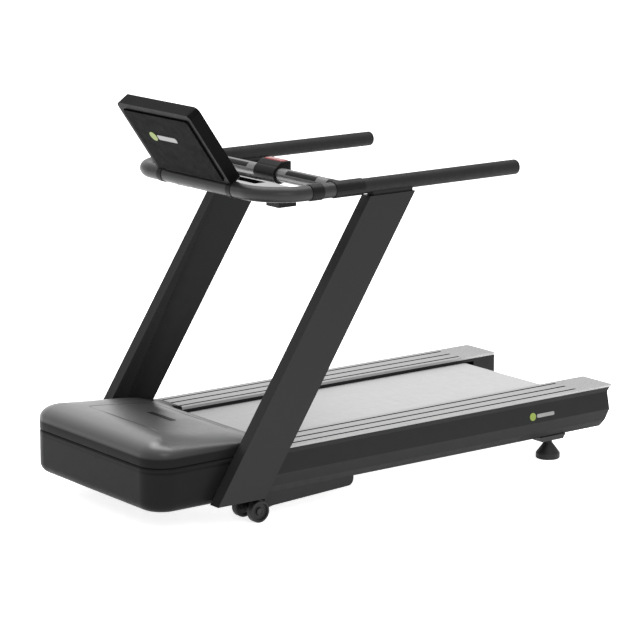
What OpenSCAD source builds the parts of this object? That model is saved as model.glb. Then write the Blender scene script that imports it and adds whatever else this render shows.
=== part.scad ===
// Motorised treadmill: flat running belt, steel frame, powered incline,
// two leaning uprights, looped handlebar and a tilted console.
// Millimetres, +Z up, front of the machine (motor hood) towards -Y,
// origin on the floor under the middle of the footprint.

/* [Deck] */
// Overall length of the machine
deck_length = 2100; // [2000:10:2200]
// Height of the foot rail tops above the floor
rail_top = 257; // [245:1:270]
// Half of the clear gap between the two foot rails
rail_inner = 262; // [240:1:275]
// Half of the width over the foot rails
rail_outer = 432; // [425:1:440]
// Half of the belt width
belt_half = 274; // [250:1:280]
// Radius of both belt rollers
roller_r = 44.7; // [40:0.1:45]
// Height of the running surface
belt_top = 232.5; // [228:0.5:236]

/* [Hood] */
// Half of the hood width
hood_half = 402; // [380:1:402]
// Corner radius of the hood seen from above
hood_corner = 95; // [60:1:120]
// Height of the seam between hood cover and hood base
seam_z = 248; // [240:1:250]
// Height of the hood top near its front
hood_crown = 342; // [320:1:360]

/* [Uprights] */
// Lean of the uprights from vertical, degrees
upright_lean = 33; // [28:0.5:36]
// Front to back length of an upright, measured level
upright_chord = 203; // [160:1:220]
// Sideways thickness of an upright
upright_thick = 50; // [40:1:56]
// Distance from the middle plane to an upright centre
upright_x = 430; // [428:1:436]

/* [Handlebars] */
// Height of the handlebar centre line
bar_z = 1150; // [1080:5:1200]
// Radius of the handlebar tubes
bar_r = 27.5; // [22:0.5:28]
// Rear end of the handlebars
bar_rear = 532; // [400:5:560]
// Radius of the pulse grip bar
pulse_r = 25.5; // [22:0.5:26]

/* [Console] */
// Width of the console
console_w = 452; // [400:1:480]
// Length of the console face
console_h = 325; // [280:1:360]
// Thickness of the console
console_t = 48; // [36:1:60]
// Tilt of the console from vertical, degrees
console_tilt = 35; // [20:1:45]

/* [Incline and feet] */
// Radius of the transport wheels
wheel_r = 40; // [34:1:42]
// Radius of the rear foot pads
foot_r = 46; // [35:1:50]

/* [Hidden] */
$fn = 96;
end_y = deck_length / 2;
belt_t = 2.5;
belt_facets = 36;
loop_r = roller_r + 0.3;
roller_z = belt_top - belt_t - loop_r;
rear_roller_y = end_y - 163;
front_roller_y = -690;
frame_x0 = 330;
frame_x1 = 375;
frame_z0 = 140;
frame_z1 = 220;
frame_front = -1005;
frame_rear = 1010;
plate_front = -1000;
cross_y = [-520, -120, 290, 700];
cross_w = 40;
cross_z0 = 150;
deck_t = 18;
deck_gap = 0.3;
deck_z1 = belt_top - belt_t - deck_gap;
deck_z0 = deck_z1 - deck_t;
cushion_x = 285;
cushion_r = 17;
motor_y = -895;
motor_z = 202;
motor_r = 56;
motor_x0 = -255;
motor_x1 = -75;
drive_x = -309;
drive_w = 20;
big_pulley_r = 40;
small_pulley_r = 20;
drive_t = 3;
drive_gap = 0.35;
lift_y = -225;
lift_z = 118;
wheel_y = -625;
inlet_y = -915;
rocker_tilt = 7;
wheel_w = 28;
arm_x = 374;
arm_w = 30;
wheel_outer_x = 420;
wheel_inner_x = 328;
axle_r = 8;
pin_r = 10;
lever_r = 60;
lever_back = 24;
screw_slope = 7.5;
lever_y = lift_y - lever_r * sin(lever_back);
lever_z = lift_z - lever_r * cos(lever_back);
foot_x = 375;
foot_y = end_y - 278;
foot_top = 72;
skirt_bottom = 91;
upright_x0 = upright_x - upright_thick / 2;
upright_foot = 92;
upright_top = bar_z - bar_r - 7;
upright_y0 = -821;
mount_y = [-745, -705];
mount_z = 140;
lean = tan(upright_lean);
hood_rear = -480;
hood_front = -end_y;
crease_z = 284;
shoulder = 120;
crown_slope = 0.1;
rear_drop = 25;
rear_taper = 0.35;
cover_t = 3.5;
hem_y = -640;
step_x = 257;
step_run = 4.4;
rail_step = rail_top - belt_top - 1.5;
hood_badge_y = -745;
loop_y = -575;
loop_bend = 150;
pulse_y = -258;
pod_rear = -211;
pod_top = bar_z + 46;
stop_half = 50;
stop_y0 = -250;
stop_y1 = -217;
sleeve_y0 = -307;
sleeve_y1 = -180;
console_y = -735;
console_z = 1453;
tray_z = 1143;
tray_t = 4;
tray_half = 330;
tray_y0 = -545;
tray_lip = 190;
tray_y1 = -358;
well_z = 1084;
well_x0 = 241;
well_x1 = 310;
well_y0 = -450;
well_y1 = -379;
pocket_half = 125;
pocket_y0 = -420;
pocket_y1 = -370;
pocket_z = 1110;

charcoal = [0.17, 0.175, 0.18];
black = [0.07, 0.07, 0.075];
silver = [0.82, 0.83, 0.84];
steel = [0.62, 0.63, 0.65];
belt_grey = [0.80, 0.80, 0.79];
red = [0.78, 0.10, 0.10];
brown = [0.45, 0.33, 0.22];
dull = [0.35, 0.36, 0.38];
green = [0.55, 0.70, 0.15];

// Node to build, or all of them

// ---- helpers -------------------------------------------------------------

function arc(cx, cy, r, a0, a1, n) =
  [for (i = [0:n]) [cx + r * cos(a0 + (a1 - a0) * i / n),
                    cy + r * sin(a0 + (a1 - a0) * i / n)]];

module both_sides() {
  children();
  mirror([1, 0, 0]) children();
}

module rod_x(r, x0, x1, y, z) {
  translate([x0, y, z]) rotate([90, 0, 90]) cylinder(r = r, h = x1 - x0);
}

module rod_y(r, y0, y1, x, z) {
  translate([x, y0, z]) rotate([-90, 0, 0]) cylinder(r = r, h = y1 - y0);
}

module rod_z(r, z0, z1, x, y) {
  translate([x, y, z0]) cylinder(r = r, h = z1 - z0);
}

module block(x0, x1, y0, y1, z0, z1) {
  translate([x0, y0, z0]) cube([x1 - x0, y1 - y0, z1 - z0]);
}

// A Y-Z outline pushed out along X.
module along_x(x0, x1) {
  translate([x0, 0, 0]) rotate([90, 0, 90]) linear_extrude(x1 - x0) children();
}

// An X-Z outline pushed out along Y.
module along_y(y0, y1) {
  translate([0, y1, 0]) rotate([90, 0, 0]) linear_extrude(y1 - y0) children();
}

module round_rect(x0, x1, y0, y1, r) {
  translate([x0 + r, y0]) square([x1 - x0 - 2 * r, y1 - y0]);
  translate([x0, y0 + r]) square([x1 - x0, y1 - y0 - 2 * r]);
  for (x = [x0 + r, x1 - r], y = [y0 + r, y1 - r]) translate([x, y]) circle(r = r);
}

// Outline of a flat link or a belt: two round ends joined by straight edges.
module link_2d(ya, za, ra, yb, zb, rb, na = 24, nb = 16) {
  heading = atan2(zb - za, yb - ya);
  tilt = acos((ra - rb) / norm([yb - ya, zb - za]));
  polygon(concat(
    arc(ya, za, ra, heading + tilt, heading + 360 - tilt, na),
    arc(yb, zb, rb, heading - tilt, heading + tilt, nb)));
}

// Upright outline in Y-Z, grown by g on its front and rear edges.
module upright_2d(g, z0, z1) {
  polygon([
    [upright_y0 - g + (z0 - upright_foot) * lean, z0],
    [upright_y0 + upright_chord + g + (z0 - upright_foot) * lean, z0],
    [upright_y0 + upright_chord + g + (z1 - upright_foot) * lean, z1],
    [upright_y0 - g + (z1 - upright_foot) * lean, z1]]);
}

// Everything in front of the rear edge of an upright.
module ahead_of_upright(x0, x1) {
  along_x(x0, x1) polygon([
    [-end_y - 10, 0],
    [upright_y0 + upright_chord + 1 - upright_foot * lean, 0],
    [upright_y0 + upright_chord + 1 + (400 - upright_foot) * lean, 400],
    [-end_y - 10, 400]]);
}

// ---- frame ---------------------------------------------------------------

module side_rail() {
  difference() {
    union() {
      block(frame_x0, frame_x1, frame_front, frame_rear, frame_z0, frame_z1);
      block(frame_x1 - 1, upright_x0, -765, -685, 112, 168);
      block(340, 352, lift_y - 30, lift_y + 30, 98, frame_z0 + 1);
      rod_x(22, 340, 352, lift_y, lift_z);
    }
    block(frame_x0 + 3, frame_x1 - 3, frame_front - 1, frame_rear + 1,
      frame_z0 + 3, frame_z1 - 3);
    rod_x(pin_r + 0.05, 339, 353, lift_y, lift_z);
    for (y = [front_roller_y, rear_roller_y])
      rod_x(10.2, frame_x0 - 1, frame_x1 + 1, y, roller_z);
    for (y = mount_y)
      rod_x(5.3, frame_x1 + 2, upright_x0 + 1, y, mount_z);
  }
}

module frame_rail_right() { color(black) side_rail(); }

module frame_rail_left() { color(black) mirror([1, 0, 0]) side_rail(); }

module cross_members() {
  color(black)
  for (y = cross_y)
    difference() {
      block(-frame_x0, frame_x0, y - cross_w / 2, y + cross_w / 2, cross_z0, cross_z0 + cross_w);
      block(-frame_x0 - 1, frame_x0 + 1, y - cross_w / 2 + 3, y + cross_w / 2 - 3,
        cross_z0 + 3, cross_z0 + cross_w - 3);
    }
}

module motor_plate() {
  color(black)
  difference() {
    union() {
      block(-frame_x1, frame_x1, plate_front, -770, frame_z0 - 4, frame_z0);
      block(-300, 300, plate_front, plate_front + 4, frame_z0 - 1, frame_z0 + 30);
    }
    block(-42, 42, -912, -769, frame_z0 - 5, frame_z0 + 1);
  }
}

// ---- deck and belt -------------------------------------------------------

module deck_board() {
  color(brown)
  block(-300, 300, front_roller_y + 60, rear_roller_y - 60,
    deck_z0, deck_z1);
}

module deck_cushions() {
  color(black)
  for (y = cross_y, x = [-cushion_x, cushion_x])
    rod_z(cushion_r, cross_z0 + cross_w, deck_z0, x, y);
}

module belt_2d(r) {
  link_2d(rear_roller_y, roller_z, r, front_roller_y, roller_z, r, belt_facets, belt_facets);
}

module walking_belt() {
  color(belt_grey)
  along_x(-belt_half, belt_half)
    difference() {
      belt_2d(loop_r + belt_t);
      belt_2d(loop_r);
    }
}

module roller(y) {
  difference() {
    rod_x(roller_r, -284, 284, y, roller_z);
    rod_x(roller_r - 4, -270, 270, y, roller_z);
    rod_x(21, -285, 285, y, roller_z);
  }
}

module front_roller() { color(steel) roller(front_roller_y); }

module rear_roller() { color(steel) roller(rear_roller_y); }

module roller_pulley() {
  color(dull)
  difference() {
    union() {
      rod_x(big_pulley_r, drive_x - drive_w / 2, drive_x + drive_w / 2, front_roller_y, roller_z);
      rod_x(big_pulley_r + 5, drive_x - drive_w / 2 - 3, drive_x - drive_w / 2,
        front_roller_y, roller_z);
      rod_x(big_pulley_r + 5, drive_x + drive_w / 2, drive_x + drive_w / 2 + 3,
        front_roller_y, roller_z);
      rod_x(24, drive_x + drive_w / 2 + 3, -284, front_roller_y, roller_z);
    }
    rod_x(13, drive_x - drive_w, -283, front_roller_y, roller_z);
  }
}

module roller_axles() {
  color(steel)
  for (y = [front_roller_y, rear_roller_y])
    rod_x(10, -frame_x1 - 4, frame_x1 + 4, y, roller_z);
}

module roller_bearings() {
  color(steel)
  for (y = [front_roller_y, rear_roller_y], x = [-282, 268])
    difference() {
      rod_x(20.95, x, x + 14, y, roller_z);
      rod_x(10, x - 1, x + 15, y, roller_z);
    }
}

module tension_bolts() {
  color(steel)
  both_sides() {
    rod_y(5, rear_roller_y + 10.5, frame_rear + 12, 352.5, roller_z);
    rod_y(9, frame_rear + 12, frame_rear + 19, 352.5, roller_z);
    block(frame_x0 + 3.2, frame_x1 - 3.2, frame_rear + 0.2, frame_rear + 5,
      frame_z0 + 3, frame_z1 - 3);
  }
}

// ---- drive ---------------------------------------------------------------

module drive_motor() {
  color(black)
  difference() {
    union() {
      rod_x(motor_r, motor_x0, motor_x1, motor_y, motor_z);
      rod_x(motor_r - 6, motor_x0 - 12, motor_x0, motor_y, motor_z);
      rod_x(motor_r - 6, motor_x1, motor_x1 + 12, motor_y, motor_z);
      block(motor_x1 - 80, motor_x1 - 20, motor_y - 24, motor_y + 24, motor_z,
        motor_z + motor_r + 14);
    }
    rod_x(motor_r - 14, motor_x0 - 2, motor_x1 + 2, motor_y, motor_z);
    rod_x(10.1, motor_x0 - 20, motor_x1 + 20, motor_y, motor_z);
  }
}

module motor_rotor() {
  x0 = drive_x - drive_w / 2;
  x1 = drive_x + drive_w / 2;
  color(dull)
  difference() {
    union() {
      rod_x(10, x0 - 6, motor_x1 + 16, motor_y, motor_z);
      rod_x(motor_r - 17, motor_x0 + 12, motor_x1 - 12, motor_y, motor_z);
      rod_x(small_pulley_r, x0, x1, motor_y, motor_z);
      rod_x(small_pulley_r + 5, x0 - 3, x0, motor_y, motor_z);
      rod_x(small_pulley_r + 5, x1, x1 + 3, motor_y, motor_z);
      rod_x(motor_r - 3, x1 + 7, x1 + 25, motor_y, motor_z);
    }
    for (a = [0:60:300])
      rod_x(8, x1 + 6, x1 + 26, motor_y + 34 * cos(a), motor_z + 34 * sin(a));
  }
}

module motor_bracket() {
  color(black)
  difference() {
    union() {
      for (x = [motor_x0 + 10, motor_x1 - 20])
        block(x, x + 10, motor_y - 66, motor_y + 66, frame_z0, motor_z + 10);
      for (y = [motor_y - 80, motor_y + 60])
        block(motor_x0 + 10, motor_x1 - 10, y, y + 20, frame_z0, frame_z0 + 6);
    }
    rod_x(motor_r, motor_x0 - 1, motor_x1 + 1, motor_y, motor_z);
  }
}

module drive_2d(grow) {
  link_2d(front_roller_y, roller_z, big_pulley_r + grow, motor_y, motor_z,
    small_pulley_r + grow, belt_facets, belt_facets);
}

module drive_belt() {
  color(black)
  along_x(drive_x - drive_w / 2 + 0.6, drive_x + drive_w / 2 - 0.6)
    difference() {
      drive_2d(drive_t + drive_gap);
      drive_2d(drive_gap);
    }
}

module controller_box() {
  color(dull) {
    block(150, 310, -990, -800, frame_z0, frame_z0 + 46);
    for (i = [0:9]) block(158 + i * 15, 163 + i * 15, -986, -804, frame_z0 + 46, frame_z0 + 70);
  }
}

module power_inlet() {
  color(black)
  difference() {
    union() {
      block(-hood_half + 3, -hood_half + 26, inlet_y - 14, inlet_y + 62, 150, 184);
      block(-hood_half - 3, -hood_half, inlet_y - 18, inlet_y + 66, 146, 188);
      block(-hood_half - 1, -hood_half + 4, inlet_y - 14, inlet_y + 62, 150, 184);
    }
    block(-hood_half - 4, -hood_half + 16, inlet_y - 9, inlet_y + 22, 156, 178);
    block(-hood_half - 4, -hood_half + 16, inlet_y + 31, inlet_y + 57, 155, 179);
  }
  color(steel)
  for (i = [-1:1])
    block(-hood_half + 2, -hood_half + 16, inlet_y + 6.5 + i * 8 - 1, inlet_y + 6.5 + i * 8 + 1,
      165, 169);
}

// Rocker, resting with its lower half pressed in.
module power_switch() {
  color(red)
  translate([-hood_half + 6, inlet_y + 44, 167])
    rotate([0, rocker_tilt, 0])
      along_y(-12.2, 12.2)
        polygon([[5, -6], [-6, -10], [-4.5, 0], [-6, 10], [5, 6]]);
}

// ---- incline -------------------------------------------------------------

module arm() {
  difference() {
    along_x(arm_x - arm_w / 2, arm_x + arm_w / 2)
      link_2d(lift_y, lift_z, 20, wheel_y, wheel_r, 18);
    rod_x(axle_r, arm_x - arm_w, arm_x + arm_w, wheel_y, wheel_r);
    rod_x(pin_r, arm_x - arm_w, arm_x + arm_w, lift_y, lift_z);
  }
}

module lift_frame() {
  color(black) {
    both_sides() arm();
    difference() {
      rod_x(18, -334, 334, lift_y, lift_z);
      both_sides() {
        rod_x(14, 20, 310, lift_y, lift_z);
        rod_x(pin_r, 315, 335, lift_y, lift_z);
      }
    }
    difference() {
      along_x(-5, 5) link_2d(lift_y, lift_z, 18.6, lever_y, lever_z, 13);
      rod_x(6, -6, 6, lever_y, lever_z);
    }
  }
}

module lift_pins() {
  color(steel) {
    both_sides() {
      rod_x(pin_r, 316, arm_x + arm_w / 2, lift_y, lift_z);
      rod_x(axle_r, wheel_inner_x - wheel_w / 2 - 6, wheel_outer_x + wheel_w / 2 - 2,
        wheel_y, wheel_r);
    }
    rod_x(6, -19, 19, lever_y, lever_z);
  }
}

module on_screw_axis() {
  translate([0, lever_y, lever_z]) rotate([-screw_slope, 0, 0]) children();
}

module lift_motor() {
  color(dull)
  difference() {
    union() {
      on_screw_axis() {
        rod_y(15, -560, -160, 0, 0);
        block(-36, 36, -640, -560, -30, 44);
        rod_y(20, -664, -640, 0, 0);
      }
      both_sides() block(34, 66, -880, -810, frame_z0, frame_z0 + 6);
    }
    on_screw_axis() rod_y(9.05, -600, -150, 0, 0);
  }
}

module lift_screw() {
  color(steel)
  on_screw_axis() {
    rod_y(9, -590, -40, 0, 0);
    difference() {
      union() {
        block(-15, 15, -48, -30, -13, 13);
        for (s = [-1, 1]) translate([s * 10.5 - 4.5, 0, 0]) {
          block(0, 9, -32, 0, -13, 13);
          rod_x(13, 0, 9, 0, 0);
        }
      }
      rod_x(9.5, -20, 20, 0, 0);
    }
  }
}

module wheel(x) {
  color(black)
  difference() {
    union() {
      rod_x(wheel_r, x - wheel_w / 2 + 2, x + wheel_w / 2 - 2, wheel_y, wheel_r);
      rod_x(wheel_r - 2, x - wheel_w / 2, x + wheel_w / 2, wheel_y, wheel_r);
    }
    for (s = [-1, 1])
      translate([s * (wheel_w / 2 - 3), 0, 0])
        difference() {
          rod_x(wheel_r - 9, x - 4, x + 4, wheel_y, wheel_r);
          rod_x(15, x - 5, x + 5, wheel_y, wheel_r);
        }
    rod_x(axle_r + 0.06, x - wheel_w, x + wheel_w, wheel_y, wheel_r);
  }
}

module wheel_right_outer() { wheel(wheel_outer_x); }
module wheel_right_inner() { wheel(wheel_inner_x); }
module wheel_left_outer() { wheel(-wheel_outer_x); }
module wheel_left_inner() { wheel(-wheel_inner_x); }

module lift_guards() {
  color(charcoal)
  both_sides() {
    along_x(389.6, 393.4) polygon(concat(
      [[-577, 139], [-577, 38]], arc(-205, 80, 25, -82, 0, 6), [[-180, 139]]));
    block(376, 389.6, -560, -290, 137, 140);
  }
}

// ---- rear feet -----------------------------------------------------------

module foot_brackets() {
  color(charcoal)
  both_sides()
    difference() {
      union() {
        along_x(349, 401) polygon([
          [foot_y - 62, skirt_bottom - 0.5], [foot_y - 52, foot_top],
          [foot_y + 54, foot_top], [foot_y + 68, skirt_bottom - 0.5]]);
        block(349, frame_x1, foot_y - 50, foot_y + 50, skirt_bottom - 1, frame_z0);
      }
      rod_z(8.57, foot_top - 1, frame_z0 + 1, foot_x, foot_y);
    }
}

module foot(x) {
  color(black)
  translate([x, foot_y, 0]) {
    rotate_extrude() polygon(concat(
      [[0, 0], [foot_r - 3, 0], [foot_r, 3], [foot_r, 20]],
      [[foot_r - 2, 23], [17, 60], [15, 66], [0, 66]]));
    cylinder(r = 8.5, h = 125);
  }
}

module foot_right() { foot(foot_x); }
module foot_left() { foot(-foot_x); }

// ---- foot rails and skirts -----------------------------------------------

strip_x = [288, 344, 400];
rail_corner = 14;

module rail() {
  difference() {
    along_y(-590, end_y) polygon([
      [rail_inner, rail_top], [rail_outer, rail_top], [rail_outer - 6, rail_top - 9],
      [rail_outer - 10, rail_top - 9], [rail_outer - 12, rail_top - 5],
      [rail_inner + 5, rail_top - 5], [rail_inner + 5, rail_top - 10],
      [rail_inner, rail_top - 10]]);
    along_x(rail_inner - 1, rail_outer + 1) polygon([
      [end_y, rail_top], [end_y + 1, rail_top], [end_y + 1, rail_top - 12],
      [end_y - 8, rail_top - 12]]);
    for (x = strip_x)
      block(x - 3, x + 3, -600, end_y - 169, rail_top - 2, rail_top + 1);
    ahead_of_upright(upright_x0 - 2, rail_outer + 5);
    translate([rail_outer - rail_corner, end_y - rail_corner, rail_top - 20])
      linear_extrude(40) difference() {
        square(rail_corner + 1);
        circle(r = rail_corner);
      }
  }
}

module rail_right() { color(silver) rail(); }
module rail_left() { color(silver) mirror([1, 0, 0]) rail(); }

module rail_strips() {
  color(black)
  both_sides()
    for (x = strip_x)
      difference() {
        block(x - 3, x + 3, -590, end_y - 169, rail_top - 2, rail_top - 0.4);
        ahead_of_upright(upright_x0 - 2, rail_outer + 5);
      }
}

module rail_walls() {
  color(black)
  both_sides()
    difference() {
      union() {
        block(rail_inner + 1, rail_inner + 5, -590, end_y - 1, belt_top + 2, rail_top - 10);
        block(rail_inner + 1, rail_inner + 5, rear_roller_y + 52, end_y - 1, skirt_bottom,
          rail_top - 10);
        block(rail_inner + 5, frame_x0 + 20, -590, end_y - 164, rail_top - 14, rail_top - 10);
        block(frame_x0, frame_x0 + 20, -590, end_y - 164, frame_z1, rail_top - 14);
        block(frame_x0 + 20, rail_outer - 16, -590, end_y - 164, rail_top - 9, rail_top - 5);
        block(frame_x0 + 16, frame_x0 + 20, -590, end_y - 164, rail_top - 14, rail_top - 5);
      }
      ahead_of_upright(upright_x0 - 2, rail_outer + 5);
    }
}

// Side skin outline: inset from the widest line against height.
skin = [[8, rail_top - 10.2], [9, rail_top - 12], [15, 229], [8, 160], [20, 117],
        [35, skirt_bottom]];

module skin_2d(inset) {
  polygon(concat(
    [for (p = skin) [-p[0] - inset, p[1]]],
    [for (i = [len(skin) - 1:-1:0]) [-skin[i][0] - 3 - inset, skin[i][1]]]));
}

// Half spaces either side of the mitre at the rear corner.
module mitre(outer) {
  s = outer ? 1 : -1;
  linear_extrude(400)
    polygon([
      [rail_outer + 5, end_y + 5 - s * 0.15],
      [rail_outer - 120, end_y - 120 - s * 0.15],
      outer ? [rail_outer - 120, -end_y] : [rail_inner - 20, end_y - 120],
      outer ? [rail_outer + 5, -end_y] : [rail_inner - 20, end_y + 5]]);
}

module skirt() {
  intersection() {
    difference() {
      union() {
        translate([rail_outer, 0, 0]) along_y(-700, end_y) skin_2d(0);
        for (y = [-380, 0, 380, 760])
          block(frame_x1, rail_outer - 12, y, y + 4, 160, 212);
      }
      ahead_of_upright(upright_x0 - 60, rail_outer + 20);
    }
    mitre(true);
  }
}

module skirt_right() { color(charcoal) skirt(); }
module skirt_left() { color(charcoal) mirror([1, 0, 0]) skirt(); }

module end_cap() {
  intersection() {
    translate([0, end_y, 0]) along_x(rail_inner + 5.2, rail_outer) skin_2d(0);
    mitre(false);
  }
  block(frame_x1 - 3, frame_x1, frame_rear, end_y - 12, 150, 214);
}

module end_cap_right() { color(charcoal) end_cap(); }
module end_cap_left() { color(charcoal) mirror([1, 0, 0]) end_cap(); }

// ---- hood ----------------------------------------------------------------

base_skin = concat([[6.5, seam_z]], arc(13, seam_z - 13, 13, 120, 180, 4),
  arc(38, 122, 38, 180, 250, 9));
base_inner = concat(arc(38, 122, 35, 250, 180, 9), arc(13, seam_z - 13, 10, 180, 120, 4),
  [[10, seam_z]]);
base_wall = concat(base_skin, base_inner);
hood_base_rear = -600;

module base_2d(shift) {
  polygon([for (p = base_wall) [shift - p[0], p[1]]]);
}

module hood_base() {
  color(charcoal)
  difference() {
    union() {
      both_sides() {
        along_y(hood_front + hood_corner, hood_base_rear) base_2d(hood_half);
        translate([hood_half - hood_corner, hood_front + hood_corner, 0])
          rotate([0, 0, -90]) rotate_extrude(angle = 90) base_2d(hood_corner);
      }
      translate([0, hood_front, 0]) mirror([0, 1, 0])
        along_x(-hood_half + hood_corner, hood_half - hood_corner) base_2d(0);
    }
    both_sides() block(390, 410, -767, -683, 110, 170);
    block(-hood_half - 1, -hood_half + 5, inlet_y - 14.2, inlet_y + 62.2, 149.8, 184.2);
  }
}

// Plan outline of the hood, drawn in by d. The rear row carries two close
// points where the cover steps down between the foot rails, at half width w.
function hood_ring(d, w) =
  let (hx = hood_half - d, y0 = hood_front + d, y1 = hood_rear - rear_taper * d,
       rf = max(hood_corner - d, 8), rb = 14,
       high = min((w + step_run) / (hx - rb), 0.95), low = min(w / (hx - rb), 0.93),
       rear = [1, (1 + high) / 2, high, low, low * 2 / 3, low / 3])
  concat(
    [for (i = [0:9]) [hx, y1 - rb + (y0 + rf - y1 + rb) * i / 10]],
    [for (i = [0:7]) [hx - rf + rf * cos(90 * i / 8), y0 + rf - rf * sin(90 * i / 8)]],
    [for (i = [0:11]) [(hx - rf) * (1 - 2 * i / 12), y0]],
    [for (i = [0:7]) [-hx + rf - rf * sin(90 * i / 8), y0 + rf - rf * cos(90 * i / 8)]],
    [for (i = [0:9]) [-hx, y0 + rf + (y1 - rb - y0 - rf) * i / 10]],
    [for (i = [0:3]) [-hx + rb - rb * cos(90 * i / 4), y1 - rb + rb * sin(90 * i / 4)]],
    [for (f = rear) [(-hx + rb) * f, y1]],
    [[0, y1]],
    [for (i = [5:-1:1]) [(hx - rb) * rear[i], y1]],
    [for (i = [0:3]) [hx - rb + rb * sin(90 * i / 4), y1 - rb + rb * cos(90 * i / 4)]]);

function blend(t) = let (u = max(0, min(1, t))) u * u * (3 - 2 * u);

// 1 where the cover lies between the foot rails, 0 over them.
function between(p, w) = abs(p[0]) < w + step_run / 2 ? 1 : 0;

// Height of the hood crown at a plan point.
function crown(p, w) = hood_crown - crown_slope * (p[1] - hood_front - 50)
  - rear_drop * blend((p[1] - hood_rear + 200) / 200)
  - rail_step * between(p, w) * blend((p[1] - hood_rear + 80) / 80);

// Height of the cover's lower edge: the seam, the foot rails or the belt.
function hem(p, w) = p[1] < hem_y ? seam_z + 0.5 : rail_top + 0.5 - rail_step * between(p, w);

function lip(p, w) = max(hem(p, w) + 4, min(crease_z, crown(p, w) - 6));

function round_up(d) = sqrt(1 - pow(1 - min(d, shoulder) / shoulder, 2));

function cover_z(p, d, w) = lip(p, w) + round_up(d) * (crown(p, w) - lip(p, w));

inset_steps = [0, 2, 6, 12, 20, 32, 46, 64, 88, 120, 165, 220, 270, 310];

module hood_cover() {
  w0 = step_x - 4;
  w1 = step_x;
  n = len(hood_ring(0, w0));
  m = len(inset_steps);
  outer_low = [for (p = hood_ring(0, w0)) [p[0], p[1], hem(p, w0)]];
  outer = [for (d = inset_steps) for (p = hood_ring(d, w0)) [p[0], p[1], cover_z(p, d, w0)]];
  inner_low = [for (p = hood_ring(cover_t, w1)) [p[0], p[1], hem(p, w1)]];
  inner = [for (d = inset_steps) for (p = hood_ring(d + cover_t, w1))
    [p[0], p[1], cover_z(p, d, w1) - cover_t]];
  inset_end = inset_steps[m - 1];
  mid = [0, (hood_front + inset_end + hood_rear - rear_taper * inset_end) / 2];
  ib = n * (m + 1);
  top = 2 * ib;
  pts = concat(outer_low, outer, inner_low, inner,
    [[0, mid[1], crown(mid, w0)], [0, mid[1], crown(mid, w0) - cover_t]]);
  color(charcoal)
  polyhedron(points = pts, convexity = 6, faces = concat(
    [for (k = [0:m - 1]) for (i = [0:n - 1]) let (j = (i + 1) % n)
      [k * n + j, (k + 1) * n + j, (k + 1) * n + i]],
    [for (k = [0:m - 1]) for (i = [0:n - 1]) let (j = (i + 1) % n)
      [k * n + i, k * n + j, (k + 1) * n + i]],
    [for (k = [0:m - 1]) for (i = [0:n - 1]) let (j = (i + 1) % n)
      [ib + k * n + i, ib + (k + 1) * n + i, ib + (k + 1) * n + j]],
    [for (k = [0:m - 1]) for (i = [0:n - 1]) let (j = (i + 1) % n)
      [ib + k * n + i, ib + (k + 1) * n + j, ib + k * n + j]],
    [for (i = [0:n - 1]) let (j = (i + 1) % n) [ib + j, j, i]],
    [for (i = [0:n - 1]) let (j = (i + 1) % n) [ib + i, ib + j, i]],
    [for (i = [0:n - 1]) let (j = (i + 1) % n) [m * n + j, top, m * n + i]],
    [for (i = [0:n - 1]) let (j = (i + 1) % n) [top + 1, ib + m * n + j, ib + m * n + i]]));
}

// ---- uprights ------------------------------------------------------------

module upright() {
  difference() {
    along_x(upright_x0, upright_x0 + upright_thick) upright_2d(0, upright_foot, upright_top);
    along_x(upright_x0 + 4, upright_x0 + upright_thick - 4)
      upright_2d(-5, upright_foot - 1, upright_top - 6);
    for (y = mount_y)
      rod_x(5.3, upright_x0 - 1, upright_x0 + 8, y, mount_z);
  }
  along_x(upright_x0 + 7, upright_x0 + upright_thick - 7)
    polygon([[-138, upright_top], [40, upright_top], [40, bar_z - 20], [-138, bar_z - 20]]);
}

module upright_saddled() {
  difference() {
    upright();
    rod_y(bar_r, -300, 300, upright_x, bar_z);
  }
}

module upright_right() { color(charcoal) upright_saddled(); }
module upright_left() { color(charcoal) mirror([1, 0, 0]) upright_saddled(); }

module upright_bolts() {
  color(steel)
  both_sides()
    for (y = mount_y) {
      rod_x(5.2, frame_x1 + 4, upright_x0 + 8, y, mount_z);
      translate([upright_x0 + 4, y, mount_z]) rotate([90, 0, 90])
        rotate_extrude() polygon([[0, 0], [9, 0], [9, 8], [0, 8]]);
    }
}

// ---- handlebars ----------------------------------------------------------

module handlebars() {
  color(charcoal)
  both_sides()
    difference() {
      rod_y(bar_r, sleeve_y1 + 1, bar_rear, upright_x, bar_z);
      rod_y(bar_r - 4, sleeve_y1, bar_rear + 1, upright_x, bar_z);
    }
}

module handle_caps() {
  color(black)
  both_sides()
    translate([upright_x, bar_rear, bar_z]) rotate([-90, 0, 0])
      rotate_extrude() polygon(concat(
        [[0, -14], [bar_r - 4.05, -14], [bar_r - 4.05, 0], [bar_r, 0]],
        arc(bar_r - 8, 1, 8, 0, 90, 6),
        [[0, 9]]));
}

module tube_x(r, wall, x0, x1, y, z) {
  difference() {
    rod_x(r, x0, x1, y, z);
    rod_x(r - wall, x0 - 1, x1 + 1, y, z);
  }
}

module tube_y(r, wall, y0, y1, x, z) {
  difference() {
    rod_y(r, y0, y1, x, z);
    rod_y(r - wall, y0 - 1, y1 + 1, x, z);
  }
}

module front_bar() {
  bend_x = upright_x - loop_bend;
  bend_y = loop_y + loop_bend;
  color(charcoal) {
    both_sides() {
      tube_y(bar_r, 3, bend_y, sleeve_y1, upright_x, bar_z);
      translate([bend_x, bend_y, bar_z]) rotate([0, 0, -90])
        rotate_extrude(angle = 90) translate([loop_bend, 0]) difference() {
          circle(r = bar_r);
          circle(r = bar_r - 3);
        }
    }
    tube_x(bar_r, 3, -bend_x, bend_x, loop_y, bar_z);
  }
}

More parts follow.
